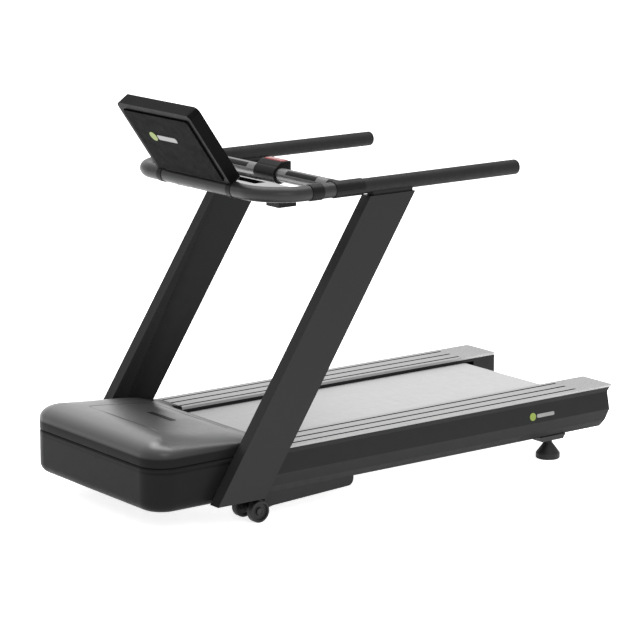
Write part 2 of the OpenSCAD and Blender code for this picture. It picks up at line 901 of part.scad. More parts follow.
module bar_collars() {
  color(black)
  both_sides() {
    difference() {
      rod_y(bar_r + 2.7, -411, -360, upright_x, bar_z);
      rod_y(bar_r, -412, -359, upright_x, bar_z);
    }
    difference() {
      rod_x(bar_r + 2, 200, 226, loop_y, bar_z);
      rod_x(bar_r, 199, 227, loop_y, bar_z);
    }
  }
}

module bar_sleeves() {
  color(black)
  both_sides()
    difference() {
      rod_y(bar_r + 3, sleeve_y0, sleeve_y1, upright_x, bar_z);
      rod_y(bar_r, sleeve_y0 - 1, sleeve_y1 + 1, upright_x, bar_z);
      rod_x(pulse_r, upright_x - 60, upright_x, pulse_y, bar_z);
      block(upright_x + bar_r - 2, upright_x + bar_r + 5, sleeve_y0 - 1, sleeve_y1 + 1,
        bar_z - 0.6, bar_z + 0.6);
    }
}

// ---- pulse bar -----------------------------------------------------------

pulse_x0 = 62;
pulse_x1 = 356;

module pulse_bar() {
  color(black)
  difference() {
    union() {
      rod_x(pulse_r - 5, -upright_x, upright_x, pulse_y, bar_z);
      both_sides() rod_x(pulse_r, pulse_x1 + 0.5, upright_x, pulse_y, bar_z);
    }
    both_sides() rod_y(bar_r, -400, 0, upright_x, bar_z);
    rod_x(pulse_r - 9, -500, 500, pulse_y, bar_z);
  }
}

module strip_2d(r0, r1) {
  polygon(concat(arc(0, 0, r1, 113, 159, 10), arc(0, 0, r0, 159, 113, 10)));
}

module pulse_contacts() {
  color(silver)
  both_sides()
    difference() {
      rod_x(pulse_r, pulse_x0 + 0.5, pulse_x1, pulse_y, bar_z);
      rod_x(pulse_r - 5, pulse_x0, pulse_x1 + 1, pulse_y, bar_z);
      translate([0, pulse_y, bar_z]) along_x(118, 296) strip_2d(pulse_r - 2, pulse_r + 2);
    }
}

module pulse_strips() {
  color(black)
  both_sides()
    translate([0, pulse_y, bar_z]) along_x(118.2, 295.8) strip_2d(pulse_r - 2, pulse_r - 0.5);
}

module control_pod() {
  color(black)
  difference() {
    along_x(-pulse_x0, pulse_x0)
      difference() {
        union() {
          translate([pulse_y, bar_z]) circle(r = 34);
          polygon([[pulse_y, bar_z - 34], [pod_rear, bar_z - 26], [pod_rear, pod_top],
            [pulse_y + 4, pod_top], [pulse_y - 14, bar_z + 33], [pulse_y - 14, bar_z]]);
        }
        translate([pulse_y, bar_z]) circle(r = pulse_r - 5);
      }
    block(-stop_half - 0.6, stop_half + 0.6, stop_y0 - 0.6, stop_y1 + 0.6,
      pod_top - 9, pod_top + 1);
  }
}

module stop_button() {
  color(red)
  hull() {
    block(-stop_half, stop_half, stop_y0, stop_y1, pod_top - 5, pod_top + 1);
    block(-stop_half + 3, stop_half - 3, stop_y0 + 3, stop_y1 - 3, pod_top, pod_top + 4);
  }
}

// ---- tray ----------------------------------------------------------------

module accessory_tray() {
  color(dull)
  difference() {
    union() {
      translate([0, 0, tray_z - tray_t])
        linear_extrude(tray_t) round_rect(-tray_half, tray_half, tray_y0, tray_y1, 40);
      block(-tray_lip, tray_lip, loop_y, tray_y0 + 1, tray_z - tray_t, tray_z);
      block(-pocket_half - 3, pocket_half + 3, pocket_y0 - 3, pocket_y1 + 3,
        pocket_z - 3, tray_z - 1);
      both_sides()
        block(well_x0 - 3, well_x1 + 3, well_y0 - 3, well_y1 + 3, well_z, tray_z - 1);
    }
    block(-pocket_half, pocket_half, pocket_y0, pocket_y1, pocket_z, tray_z + 1);
    both_sides() block(well_x0, well_x1, well_y0, well_y1, well_z + 3, tray_z + 1);
    rod_x(bar_r, -tray_half, tray_half, loop_y, bar_z);
  }
}

// ---- console -------------------------------------------------------------

module on_console() {
  difference() {
    translate([0, console_y, console_z]) rotate([console_tilt, 0, 0]) children();
    rod_x(bar_r + 2.3, -240, 240, loop_y, bar_z);
  }
}

module face_2d(inset, r) {
  round_rect(-console_w / 2 + inset, console_w / 2 - inset, -console_h + inset, -inset, r);
}

module console_shell() {
  color(charcoal)
  on_console()
    difference() {
      along_y(-console_t, 0) face_2d(0, 22);
      along_y(-console_t + 7, -8) face_2d(4, 18);
      along_y(-9, 1) face_2d(14, 12);
      along_y(-console_t - 1, -console_t + 3) face_2d(24, 14);
    }
}

module console_back() {
  color(charcoal)
  on_console() along_y(-console_t - 6, -console_t + 3) face_2d(28, 10);
}

module console_screen() {
  color(black)
  on_console() along_y(-8, -2) face_2d(14.5, 12);
}

// Plain plate: a round spot and a bar beside it.
module badge_2d(spot_r, bar_w, bar_h) {
  circle(r = spot_r);
  translate([spot_r + 6, 0]) round_rect(0, bar_w, -bar_h / 2, bar_h / 2, bar_h / 3);
}

module badge_plates() {
  color(green) {
    translate([0, console_y, console_z]) rotate([console_tilt, 0, 0])
      along_y(-console_t - 7, -console_t - 6) translate([-92, -134]) badge_2d(20, 118, 22);
    translate([0, hood_badge_y, crown([0, hood_badge_y], 0) + 0.05])
      rotate([-atan(crown_slope), 0, 0])
      linear_extrude(1) round_rect(-75, 75, -13, 13, 5);
    both_sides() translate([rail_outer - 10.58, 652, 186]) rotate([0, -5.79, 0])
      along_x(0, 1) badge_2d(15, 86, 14);
  }
}

// ---- build ---------------------------------------------------------------
frame_rail_right();
frame_rail_left();
cross_members();
motor_plate();
deck_board();
deck_cushions();
walking_belt();
front_roller();
roller_axles();
roller_pulley();
rear_roller();
roller_bearings();
tension_bolts();
drive_motor();
motor_rotor();
motor_bracket();
drive_belt();
controller_box();
power_inlet();
power_switch();
lift_frame();
lift_pins();
lift_motor();
lift_screw();
wheel_right_outer();
wheel_right_inner();
wheel_left_outer();
wheel_left_inner();
foot_brackets();
foot_right();
foot_left();
rail_right();
rail_left();
rail_strips();
rail_walls();
skirt_right();
skirt_left();
end_cap_right();
end_cap_left();
lift_guards();
hood_base();
hood_cover();
badge_plates();
upright_right();
upright_left();
upright_bolts();
handlebars();
handle_caps();
bar_collars();
bar_sleeves();
front_bar();
pulse_bar();
pulse_contacts();
pulse_strips();
control_pod();
stop_button();
accessory_tray();
console_shell();
console_back();
console_screen();
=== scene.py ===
"""Looks for a flat-belt motorised treadmill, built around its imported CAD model."""
import math
import random

import bpy
from mathutils import Matrix, Vector


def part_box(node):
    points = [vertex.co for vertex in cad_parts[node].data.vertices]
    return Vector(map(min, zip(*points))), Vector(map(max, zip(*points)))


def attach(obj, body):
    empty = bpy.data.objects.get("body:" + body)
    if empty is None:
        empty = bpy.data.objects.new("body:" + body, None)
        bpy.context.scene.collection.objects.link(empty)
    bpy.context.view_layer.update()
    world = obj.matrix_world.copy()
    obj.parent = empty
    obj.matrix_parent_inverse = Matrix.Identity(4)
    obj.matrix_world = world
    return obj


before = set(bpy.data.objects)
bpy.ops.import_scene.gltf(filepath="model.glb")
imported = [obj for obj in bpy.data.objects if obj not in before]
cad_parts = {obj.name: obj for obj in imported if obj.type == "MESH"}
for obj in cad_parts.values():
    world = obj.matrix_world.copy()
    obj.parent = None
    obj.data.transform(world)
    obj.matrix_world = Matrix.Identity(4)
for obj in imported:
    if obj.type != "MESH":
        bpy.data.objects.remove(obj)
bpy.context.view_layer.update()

MM = 0.001
ROOT = "treadmill"
# Socket numbers of a Mix node set to colours: its factor, its two colours and its result.
MIX_FACTOR, MIX_A, MIX_B, MIX_RESULT = 0, 6, 7, 2
random.seed(7)

# ---------------------------------------------------------------- materials


def new_material(name):
    """An empty node material with a Principled shader; returns (material, tree, shader)."""
    mat = bpy.data.materials.new(name)
    mat.use_nodes = True
    tree = mat.node_tree
    tree.nodes.clear()
    out = tree.nodes.new("ShaderNodeOutputMaterial")
    shader = tree.nodes.new("ShaderNodeBsdfPrincipled")
    tree.links.new(shader.outputs["BSDF"], out.inputs["Surface"])
    return mat, tree, shader


def coords(tree, scale=(1, 1, 1)):
    """Object coordinates, stretched by scale."""
    where = tree.nodes.new("ShaderNodeTexCoord")
    mapping = tree.nodes.new("ShaderNodeMapping")
    mapping.inputs["Scale"].default_value = scale
    tree.links.new(where.outputs["Object"], mapping.inputs["Vector"])
    return mapping.outputs["Vector"]


def noise(tree, vector, scale, detail=3.0, rough=0.55):
    """A noise value at vector."""
    node = tree.nodes.new("ShaderNodeTexNoise")
    node.inputs["Scale"].default_value = scale
    node.inputs["Detail"].default_value = detail
    node.inputs["Roughness"].default_value = rough
    tree.links.new(vector, node.inputs["Vector"])
    return node.outputs["Fac"]


def remap(tree, value, low, high, from_low=0.3, from_high=0.7):
    """value taken from its own range to low..high, held at both ends."""
    node = tree.nodes.new("ShaderNodeMapRange")
    node.inputs["From Min"].default_value = from_low
    node.inputs["From Max"].default_value = from_high
    node.inputs["To Min"].default_value = low
    node.inputs["To Max"].default_value = high
    tree.links.new(value, node.inputs["Value"])
    return node.outputs["Result"]


def math_node(tree, operation, *values, clamp=False):
    """One math node; each value is a socket or a number."""
    node = tree.nodes.new("ShaderNodeMath")
    node.operation = operation
    node.use_clamp = clamp
    for socket, value in zip(node.inputs, values):
        if isinstance(value, (int, float)):
            socket.default_value = value
        else:
            tree.links.new(value, socket)
    return node.outputs[0]


def shade(color, k):
    """The colour times k, opaque."""
    return tuple(min(1.0, c * k) for c in color[:3]) + (1.0,)


def mix_color(tree, fac, a, b, blend="MIX"):
    """Colour a where fac is 0, and a blended with b where it is 1."""
    node = tree.nodes.new("ShaderNodeMix")
    node.data_type = "RGBA"
    node.blend_type = blend
    for socket, value in ((MIX_A, a), (MIX_B, b)):
        if isinstance(value, tuple):
            node.inputs[socket].default_value = value
        else:
            tree.links.new(value, node.inputs[socket])
    tree.links.new(fac, node.inputs[MIX_FACTOR])
    return node.outputs[MIX_RESULT]


def bump(tree, shader, height, strength, distance):
    """Relief added to whatever relief the shader already has."""
    node = tree.nodes.new("ShaderNodeBump")
    node.inputs["Strength"].default_value = strength
    node.inputs["Distance"].default_value = distance
    tree.links.new(height, node.inputs["Height"])
    if shader.inputs["Normal"].is_linked:
        tree.links.new(shader.inputs["Normal"].links[0].from_socket, node.inputs["Normal"])
    tree.links.new(node.outputs["Normal"], shader.inputs["Normal"])


def surface(name, color, rough, metallic=0.0, grain=0.0, grain_scale=1400.0, vary=0.08,
            vary_scale=9.0, rough_vary=0.06, coat=0.0, coat_rough=0.1,
            pale_edges=0.0, pale_edge_tone=(0.3, 0.3, 0.3), specular=0.5):
    """Moulded or painted surface: slow colour drift, uneven gloss, fine grain, paler sharp edges."""
    mat, tree, shader = new_material(name)
    shader.inputs["Metallic"].default_value = metallic
    shader.inputs["Specular IOR Level"].default_value = specular
    shader.inputs["Coat Weight"].default_value = coat
    shader.inputs["Coat Roughness"].default_value = coat_rough
    at = coords(tree)
    drift = remap(tree, noise(tree, at, vary_scale, 4.0), 0.0, 1.0)
    tint = mix_color(tree, drift, shade(color, 1 - vary), shade(color, 1 + vary))
    if pale_edges:
        # Paler along sharp edges, found by pointiness.
        geometry = tree.nodes.new("ShaderNodeNewGeometry")
        edge = remap(tree, geometry.outputs["Pointiness"], 0.0, pale_edges, 0.52, 0.60)
        tint = mix_color(tree, edge, tint, tuple(pale_edge_tone) + (1.0,))
    tree.links.new(tint, shader.inputs["Base Color"])
    gloss = remap(tree, noise(tree, at, vary_scale * 4, 5.0), rough - rough_vary, rough + rough_vary)
    tree.links.new(gloss, shader.inputs["Roughness"])
    if grain:
        bump(tree, shader, noise(tree, at, grain_scale, 2.0), grain, GRAIN_DEPTH)
    return mat


def brushed(name, color, rough, axis_stretch):
    """Drawn or brushed metal with fine lines along one direction."""
    mat, tree, shader = new_material(name)
    shader.inputs["Metallic"].default_value = 0.85
    lines = noise(tree, coords(tree, axis_stretch), 420.0, 4.0, 0.7)
    drift = noise(tree, coords(tree), 6.0, 3.0)
    tint = mix_color(tree, remap(tree, lines, 0.0, 1.0), shade(color, 0.95), shade(color, 1.05))
    tree.links.new(tint, shader.inputs["Base Color"])
    gloss = math_node(tree, "ADD", remap(tree, lines, -0.05, 0.05),
                      remap(tree, drift, rough - 0.03, rough + 0.05))
    tree.links.new(gloss, shader.inputs["Roughness"])
    bump(tree, shader, lines, 0.05, 0.0002)
    return mat


def axes(tree):
    """Object coordinates as three sockets, in metres."""
    where = tree.nodes.new("ShaderNodeTexCoord")
    split = tree.nodes.new("ShaderNodeSeparateXYZ")
    tree.links.new(where.outputs["Object"], split.inputs[0])
    return split.outputs


def darken(tree, shader, amount, k):
    """The base colour falls to k of itself where amount is 1."""
    old = shader.inputs["Base Color"].links[0].from_socket
    tone = mix_color(tree, amount, old, (k, k, k, 1), blend="MULTIPLY")
    tree.links.new(tone, shader.inputs["Base Color"])


def groove_mask(tree, distance, half):
    """1 on the line where distance is 0, fading out at half metres to either side."""
    away = math_node(tree, "ABSOLUTE", distance)
    return math_node(tree, "SUBTRACT", 1.0, math_node(tree, "DIVIDE", away, half), clamp=True)


def hood_panel_and_painted_gloss(mat):
    """The rounded panel pressed into the top of the hood, with gloss that rises with height: painted shade
    under the shoulder, a painted reflection on it, and painted shade along the panel's groove.
    """
    tree, shader = mat.node_tree, mat.node_tree.nodes["Principled BSDF"]
    x, y, z = axes(tree)
    mid_y = (PANEL_FRONT + PANEL_REAR) / 2
    across = math_node(tree, "SUBTRACT", math_node(tree, "ABSOLUTE", x), PANEL_HALF - PANEL_CORNER)
    along = math_node(tree, "SUBTRACT",
                      math_node(tree, "ABSOLUTE", math_node(tree, "SUBTRACT", y, mid_y)),
                      (PANEL_REAR - PANEL_FRONT) / 2 - PANEL_CORNER)
    out_x = math_node(tree, "MAXIMUM", across, 0.0)
    out_y = math_node(tree, "MAXIMUM", along, 0.0)
    squares = [math_node(tree, "MULTIPLY", out, out) for out in (out_x, out_y)]
    outside = math_node(tree, "SQRT", math_node(tree, "ADD", *squares))
    inside = math_node(tree, "MINIMUM", math_node(tree, "MAXIMUM", across, along), 0.0)
    distance = math_node(tree, "SUBTRACT", math_node(tree, "ADD", outside, inside), PANEL_CORNER)
    line = groove_mask(tree, distance, PANEL_LINE)
    bump(tree, shader, remap(tree, distance, 0.0, 1.0, -PANEL_LINE, PANEL_LINE), 1.0, PANEL_DEPTH)
    # Painted shade and reflection: gloss grows with height and drops along the panel's groove.
    painted_gloss_ramp = math_node(tree, "MULTIPLY", remap(tree, z, 0.0, 1.0, SHOULDER_Z[0], SHOULDER_Z[1]),
                     remap(tree, line, 1.0, 0.3, 0.0, 1.0))
    for socket, low, high in (("Specular IOR Level", 0.03, 1.0), ("Coat Weight", 0.0, 1.0)):
        tree.links.new(remap(tree, painted_gloss_ramp, low, high, 0.0, 1.0), shader.inputs[socket])
    return mat


def lip_line(mat):
    """A soft horizontal line pressed in all round the hood's base, darkened as painted shade in its groove.
    """
    tree, shader = mat.node_tree, mat.node_tree.nodes["Principled BSDF"]
    mask = groove_mask(tree, math_node(tree, "SUBTRACT", axes(tree)[2], BASE_LIP_Z), BASE_LIP_LINE)
    # Painted shade: the groove's colour darkened.
    darken(tree, shader, mask, 0.4)
    bump(tree, shader, mask, -1.0, BASE_LIP_DEPTH)
    return mat


def rail_groove_shade_and_tread(mat):
    """Painted shade along the grooves beside the inlaid strips, dark and matte, and a speckled tread behind
    their ends.
    """
    tree, shader = mat.node_tree, mat.node_tree.nodes["Principled BSDF"]
    x, y, z = axes(tree)
    across = math_node(tree, "ABSOLUTE", x)
    groove_shade = 0.0
    for at in STRIP_X:
        near = math_node(tree, "LESS_THAN",
                         math_node(tree, "ABSOLUTE", math_node(tree, "SUBTRACT", across, at)), STRIP_SHADE)
        groove_shade = math_node(tree, "MAXIMUM", near, groove_shade)
    along = math_node(tree, "MULTIPLY", math_node(tree, "LESS_THAN", y, STRIP_END),
                      math_node(tree, "GREATER_THAN", z, RAIL_GROOVE_Z))
    groove_shade = math_node(tree, "MULTIPLY", groove_shade, along)
    # Painted shade in the strips' grooves: near-black, without metal or gloss.
    darken(tree, shader, groove_shade, 0.02)
    tree.links.new(remap(tree, groove_shade, 0.85, 0.0, 0.0, 1.0), shader.inputs["Metallic"])
    tree.links.new(remap(tree, groove_shade, 0.5, 0.0, 0.0, 1.0), shader.inputs["Specular IOR Level"])
    specks = remap(tree, noise(tree, coords(tree), 260.0, 2.0), 0.0, 1.0, 0.56, 0.62)
    tread = math_node(tree, "MULTIPLY", specks, remap(tree, y, 0.0, 1.0, STRIP_END - TREAD_FADE, STRIP_END))
    darken(tree, shader, tread, 0.5)
    return mat


def running_belt():
    """Pale two-ply belt: fine woven print, slow soiling along the runner's track."""
    mat, tree, shader = new_material("belt_surface")
    at = coords(tree)
    warp, weft = (noise(tree, coords(tree, way), 1.0, 1.0)
                  for way in ((900.0, 5.0, 5.0), (5.0, 900.0, 5.0)))
    cloth = math_node(tree, "MULTIPLY", warp, weft)
    tone = mix_color(tree, remap(tree, cloth, 0.0, 1.0, 0.15, 0.35), BELT_DARK, BELT_LIGHT)
    track = remap(tree, noise(tree, coords(tree, (5.0, 0.7, 1.0)), 1.3, 4.0), 0.0, 0.35)
    tone = mix_color(tree, track, tone, BELT_TRACK)
    tree.links.new(tone, shader.inputs["Base Color"])
    tree.links.new(remap(tree, noise(tree, at, 30.0, 4.0), 0.52, 0.66), shader.inputs["Roughness"])
    bump(tree, shader, cloth, 0.25, GRAIN_DEPTH)
    return mat


def foam(name, color):
    """Closed-cell foam sleeve: fine pitted skin."""
    mat, tree, shader = new_material(name)
    shader.inputs["Specular IOR Level"].default_value = 0.14
    at = coords(tree)
    cells = tree.nodes.new("ShaderNodeTexVoronoi")
    cells.inputs["Scale"].default_value = 620.0
    tree.links.new(at, cells.inputs["Vector"])
    tone = mix_color(tree, remap(tree, noise(tree, at, 14.0, 4.0), 0.0, 1.0),
                     shade(color, 0.9), shade(color, 1.1))
    tree.links.new(tone, shader.inputs["Base Color"])
    tree.links.new(remap(tree, noise(tree, at, 60.0, 3.0), 0.5, 0.64), shader.inputs["Roughness"])
    bump(tree, shader, cells.outputs["Distance"], 0.18, GRAIN_DEPTH)
    return mat


def wood_board():
    """Pressed board with fibres along the belt."""
    mat, tree, shader = new_material("deck_board_wood")
    fibres = noise(tree, coords(tree, (60.0, 3.0, 60.0)), 3.0, 6.0, 0.65)
    tone = mix_color(tree, remap(tree, fibres, 0.0, 1.0), (0.16, 0.09, 0.045, 1), (0.36, 0.23, 0.13, 1))
    tree.links.new(tone, shader.inputs["Base Color"])
    tree.links.new(remap(tree, fibres, 0.35, 0.55), shader.inputs["Roughness"])
    bump(tree, shader, fibres, 0.1, 0.0003)
    return mat


def display_glass():
    """Dark display lens with faint smears in its gloss."""
    mat, tree, shader = new_material("display_lens")
    at = coords(tree)
    tree.links.new(mix_color(tree, remap(tree, noise(tree, at, 8.0), 0.0, 1.0),
                             (0.006, 0.007, 0.009, 1), (0.011, 0.012, 0.015, 1)),
                   shader.inputs["Base Color"])
    shader.inputs["Coat Weight"].default_value = 0.6
    shader.inputs["Coat Roughness"].default_value = 0.04
    tree.links.new(remap(tree, noise(tree, at, 26.0, 5.0), 0.06, 0.16), shader.inputs["Roughness"])
    return mat


def glowing(name, color, strength):
    """A lit display element."""
    mat, tree, shader = new_material(name)
    at = coords(tree)
    tone = mix_color(tree, remap(tree, noise(tree, at, 120.0), 0.0, 1.0),
                     shade(color, 0.8), shade(color, 1.0))
    tree.links.new(tone, shader.inputs["Base Color"])
    tree.links.new(tone, shader.inputs["Emission Color"])
    shader.inputs["Emission Strength"].default_value = strength
    shader.inputs["Roughness"].default_value = 0.3
    return mat


# Places on the object that a finish follows, in metres.
# The dark strips let into the foot rails: middles, half-width of the painted groove shade beside each
# middle, rear end and floor.
STRIP_X = (0.288, 0.344, 0.400)
STRIP_SHADE, STRIP_END, RAIL_GROOVE_Z = 0.0055, 0.883, 0.252
TREAD_FADE = 0.1
# The panel pressed into the hood's top.
PANEL_FRONT, PANEL_REAR = -0.909, -0.614
PANEL_HALF, PANEL_CORNER, PANEL_LINE, PANEL_DEPTH = 0.233, 0.025, 0.006, 0.003
# The lip round the hood's base.
BASE_LIP_Z, BASE_LIP_LINE, BASE_LIP_DEPTH = 0.228, 0.007, 0.004
# Heights between which the hood's gloss rises: dull below as painted shade, glossy above for a painted
# reflection on the shoulder.
SHOULDER_Z = (0.276, 0.328)
GRAIN_DEPTH = 0.0004

BELT_DARK = (0.325, 0.325, 0.325, 1)
BELT_LIGHT = (0.385, 0.385, 0.383, 1)
BELT_TRACK = (0.34, 0.34, 0.34, 1)
CHARCOAL = (0.0095, 0.0096, 0.0099)
UPRIGHT = (0.0062, 0.0063, 0.0064)
GREY_EDGE = (0.045, 0.045, 0.047)

MATS = {
    "frame": surface("frame_black_coat", (0.005, 0.005, 0.0053), 0.42, grain=0.12, grain_scale=700,
                     specular=0.12),
    "skirt": surface("skirt_moulding", CHARCOAL, 0.44, grain=0.06, grain_scale=1800, vary=0.06,
                     pale_edges=0.4, pale_edge_tone=GREY_EDGE, specular=0.11),
    "base": lip_line(surface("hood_base_moulding", (0.0075, 0.0076, 0.0078), 0.36, grain=0.04,
                             grain_scale=1800, vary=0.06, pale_edges=0.3, pale_edge_tone=GREY_EDGE,
                             specular=0.05)),
    "hood": hood_panel_and_painted_gloss(surface("hood_cover_moulding", (0.0085, 0.0086, 0.0090), 0.36,
                                vary=0.05, rough_vary=0.03, coat=0.5, coat_rough=0.4)),
    "upright": surface("upright_coat", UPRIGHT, 0.38, grain=0.04, grain_scale=900, vary=0.05,
                       pale_edges=0.4, pale_edge_tone=GREY_EDGE, specular=0.10),
    "bar": surface("front_bar_coat", (0.012, 0.0121, 0.0124), 0.36, grain=0.04, grain_scale=900,
                   specular=0.28),
    "grip": foam("handle_foam", (0.0100, 0.0101, 0.0104)),
    "trim": surface("black_trim", (0.0035, 0.0035, 0.0038), 0.38, grain=0.05, specular=0.12),
    "sleeve": surface("clamp_sleeve", (0.0045, 0.0045, 0.0048), 0.42, grain=0.05, specular=0.12),
    "rail": rail_groove_shade_and_tread(brushed("rail_aluminium_brushed", (0.36, 0.36, 0.36), 0.45, (60.0, 0.5, 60.0))),
    "strip": surface("rail_strip_rubber", (0.003, 0.003, 0.003), 0.9, grain=0.2, grain_scale=900,
                     specular=0.0),
    "rail_wall": surface("rail_wall_plastic", (0.004, 0.004, 0.0045), 0.5, grain=0.05,
                         specular=0.2),
    "belt": running_belt(),
    "steel": brushed("roller_steel_turned", (0.38, 0.38, 0.39), 0.30, (300.0, 6.0, 6.0)),
    "zinc": surface("zinc_plate", (0.34, 0.345, 0.35), 0.34, metallic=1.0, vary=0.12, vary_scale=60),
    "pin": surface("blackened_pin", (0.03, 0.03, 0.032), 0.35, metallic=0.8, vary=0.12,
                   vary_scale=60),
    "cast": surface("cast_aluminium", (0.26, 0.265, 0.275), 0.45, metallic=0.9, grain=0.2,
                    grain_scale=500),
    "motor": surface("motor_paint", (0.010, 0.010, 0.011), 0.35, grain=0.1, grain_scale=400),
    "rubber": surface("wheel_rubber", (0.005, 0.005, 0.0052), 0.5, grain=0.12, grain_scale=600,
                      specular=0.3),
    "belt_rubber": surface("drive_belt_rubber", (0.006, 0.006, 0.006), 0.6, grain=0.2,
                           grain_scale=500, specular=0.2),
    "bracket": surface("foot_bracket_coat", (0.007, 0.007, 0.0075), 0.42, grain=0.08,
                       grain_scale=700, specular=0.3),
    "contact": brushed("contact_steel", (0.16, 0.16, 0.163), 0.34, (1.0, 40.0, 40.0)),
    "red": surface("stop_button_red", (0.20, 0.006, 0.01), 0.28, coat=0.25, coat_rough=0.1),
    "tray": surface("tray_moulding", (0.26, 0.26, 0.262), 0.45, grain=0.08, grain_scale=1400,
                    specular=0.25),
    "console": surface("console_moulding", (0.0025, 0.0025, 0.0027), 0.33, grain=0.03,
                       grain_scale=1500, specular=0.04),
    "panel": surface("console_panel_moulding", (0.0028, 0.0028, 0.003), 0.55, grain=0.06,
                     grain_scale=1200, specular=0.02),
    "screen": display_glass(),
    "lime": surface("lime_plate", (0.15, 0.21, 0.015), 0.4),
    "pale": surface("pale_plate", (0.19, 0.19, 0.188), 0.4),
    "wood": wood_board(),
    "led": glowing("display_light_red", (0.9, 0.06, 0.03), 1.2),
    "led_green": glowing("display_light_green", (0.1, 0.8, 0.2), 0.8),
    "key": surface("key_membrane", (0.05, 0.05, 0.052), 0.4, grain=0.05),
    "mark": surface("key_mark", (0.5, 0.5, 0.5), 0.45, grain=0.03),
    "window": surface("display_window", (0.0035, 0.0036, 0.0045), 0.12, grain=0.01, coat=0.4),
    "key_red": surface("key_red", (0.30, 0.012, 0.012), 0.35),
    "key_green": surface("key_green", (0.02, 0.20, 0.05), 0.35),
}

# ---------------------------------------------------------------- CAD nodes

LOOK = {
    # node: (material, bevel width in mm, angle in degrees above which an edge is bevelled)
    "frame_rail_right": ("frame", 2, 40), "frame_rail_left": ("frame", 2, 40),
    "cross_members": ("frame", 2, 40), "motor_plate": ("frame", 0.8, 40),
    "motor_bracket": ("frame", 0.8, 40), "lift_frame": ("frame", 1.0, 40),
    "deck_board": ("wood", 1.0, 40), "deck_cushions": ("rubber", 1.0, 40),
    "walking_belt": ("belt", 0.5, 40),
    "front_roller": ("steel", 0.8, 40), "rear_roller": ("steel", 0.8, 40),
    "roller_axles": ("zinc", 0.8, 40), "roller_bearings": ("zinc", 0.4, 40),
    "tension_bolts": ("zinc", 0.6, 40), "upright_bolts": ("zinc", 0.6, 40),
    "lift_pins": ("pin", 0.8, 40), "lift_screw": ("zinc", 0.6, 40),
    "roller_pulley": ("cast", 0.5, 40), "controller_box": ("cast", 0.8, 40),
    "drive_motor": ("motor", 1.5, 40), "motor_rotor": ("cast", 0.6, 40),
    "drive_belt": ("belt_rubber", 0.4, 40), "lift_motor": ("motor", 1.5, 40),
    "power_inlet": ("trim", 0.6, 40), "power_switch": ("red", 0.5, 20),
    "wheel_right_outer": ("rubber", 1.2, 40), "wheel_right_inner": ("rubber", 1.2, 40),
    "wheel_left_outer": ("rubber", 1.2, 40), "wheel_left_inner": ("rubber", 1.2, 40),
    "foot_right": ("rubber", 1.0, 40), "foot_left": ("rubber", 1.0, 40),
    "foot_brackets": ("bracket", 1.0, 20),
    "rail_right": ("rail", 0.6, 15), "rail_left": ("rail", 0.6, 15),
    "rail_strips": ("strip", 0.3, 40), "rail_walls": ("rail_wall", 0.6, 40),
    "skirt_right": ("skirt", 1.5, 8), "skirt_left": ("skirt", 1.5, 8),
    "end_cap_right": ("skirt", 1.5, 8), "end_cap_left": ("skirt", 1.5, 8),
    "lift_guards": ("skirt", 1.0, 8),
    "hood_base": ("base", 1.0, 35), "hood_cover": ("hood", 1.0, 40),
    "upright_right": ("upright", 1.6, 8), "upright_left": ("upright", 1.6, 8),
    "handlebars": ("grip", 1.0, 40), "front_bar": ("bar", 1.0, 40),
    "handle_caps": ("trim", 0.5, 40), "bar_collars": ("trim", 0.8, 40),
    "bar_sleeves": ("sleeve", 0.8, 40),
    "pulse_bar": ("trim", 0.8, 40), "pulse_contacts": ("contact", 0.5, 40),
    "pulse_strips": ("trim", 0.2, 40), "control_pod": ("trim", 2.0, 25),
    "stop_button": ("red", 0.8, 40), "accessory_tray": ("tray", 1.2, 30),
    "console_shell": ("console", 5.0, 40), "console_back": ("panel", 3.0, 40),
    "console_screen": ("screen", 1.0, 40), "badge_plates": ("lime", 0.3, 40),
}
WELD_WITHIN = 1e-5


def dress(obj, mat, width_mm, angle):
    """Material, rounded edges and smooth shading for an object, with its mesh left as it is."""
    obj.data.materials.clear()
    obj.data.materials.append(mat)
    for polygon in obj.data.polygons:
        polygon.use_smooth = True
    weld = obj.modifiers.new("weld", "WELD")
    weld.merge_threshold = WELD_WITHIN
    bevel = obj.modifiers.new("bevel", "BEVEL")
    bevel.width = width_mm * MM
    bevel.segments = 2
    bevel.limit_method = "ANGLE"
    bevel.angle_limit = math.radians(angle)
    bevel.use_clamp_overlap = True
    # The hood's crown is soft all over, so its normals stay plain.
    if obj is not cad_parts["hood_cover"]:
        normals = obj.modifiers.new("normals", "WEIGHTED_NORMAL")
        normals.weight = 100
        normals.keep_sharp = False


for node, (look, width, limit) in LOOK.items():
    dress(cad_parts[node], MATS[look], width, limit)


def paint_faces(node, look, chosen):
    """A second material on the faces of a CAD node whose centre passes chosen(), in millimetres."""
    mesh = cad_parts[node].data
    mesh.materials.append(MATS[look])
    last = len(mesh.materials) - 1
    for polygon in mesh.polygons:
        if chosen(polygon.center / MM):
            polygon.material_index = last


TRAY_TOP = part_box("accessory_tray")[1][2] / MM
TRAY_THICK = 4.2
# Plates above this height are on the console; past these places they are bars and not round spots.
ON_CONSOLE_Z, CONSOLE_BAR_X, SKIRT_BAR_Y = 1000, -70, 669
# The tray is pale on top; below its top skin, wells and pocket are painted black as painted shade.
paint_faces("accessory_tray", "trim", lambda at: at.z < TRAY_TOP - TRAY_THICK)
# Bars beside the round spots are pale, and the hood plate is a dark pill.
paint_faces("badge_plates", "pale", lambda at: at.z > ON_CONSOLE_Z and at.x > CONSOLE_BAR_X)
paint_faces("badge_plates", "pale", lambda at: at.y > SKIRT_BAR_Y)
paint_faces("badge_plates", "trim", lambda at: at.z < ON_CONSOLE_Z and at.y < 0)

# ---------------------------------------------------------------- console face

CONSOLE_Y, CONSOLE_Z, CONSOLE_TILT = -0.735, 1.453, math.radians(35)
# The display's surface lies this far behind the console's rim.
FACE_Y = -0.002
